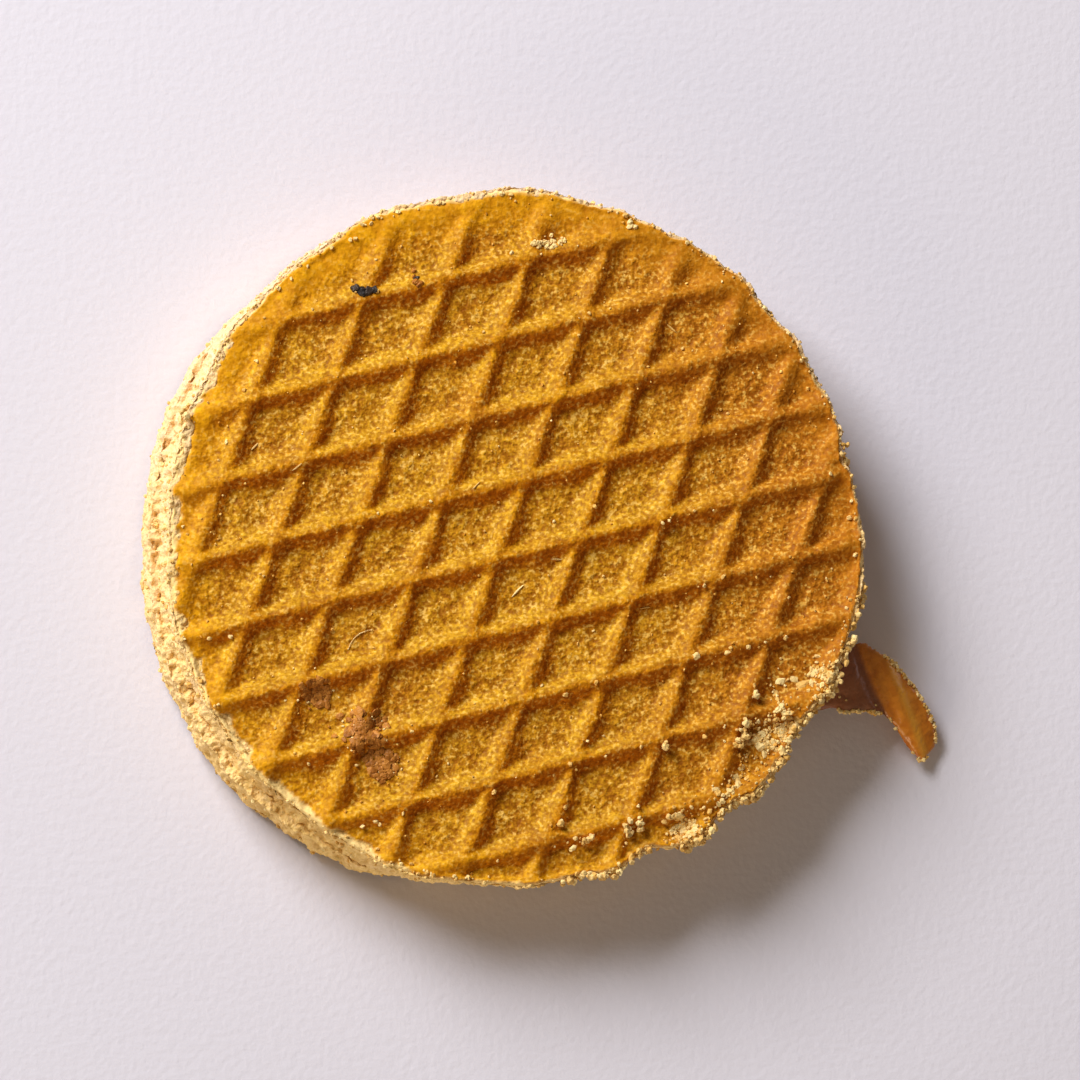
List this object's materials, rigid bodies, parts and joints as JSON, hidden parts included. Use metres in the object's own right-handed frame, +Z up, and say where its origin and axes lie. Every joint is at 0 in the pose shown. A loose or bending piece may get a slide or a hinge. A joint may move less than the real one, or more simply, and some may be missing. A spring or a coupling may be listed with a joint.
{
  "type": "stroopwafel",
  "caption": "Round syrup waffle: thin wafers pressed with a diamond lattice of ridges, a layer of caramel between them, and a tongue of caramel squeezed out at one side.",
  "frame": {"origin": "middle of the underside, on a crossing of two ridges of the lower wafer, on the surface that the waffle lies on", "axes": "+Z up through the three layers; +X to the right and +Y away from the viewer with the caramel tongue at the right front"},
  "size_m": [0.0681, 0.06, 0.0088],
  "materials": {
    "wafer": "baked golden brown crust with a matt, finely grained surface, pale crumb at the cut edge",
    "caramel": "glossy amber brown syrup"
  },
  "bodies": {
    "root": {"lower_wafer": "wafer", "caramel": "caramel", "upper_wafer": "wafer"}
  },
  "joints": []
}
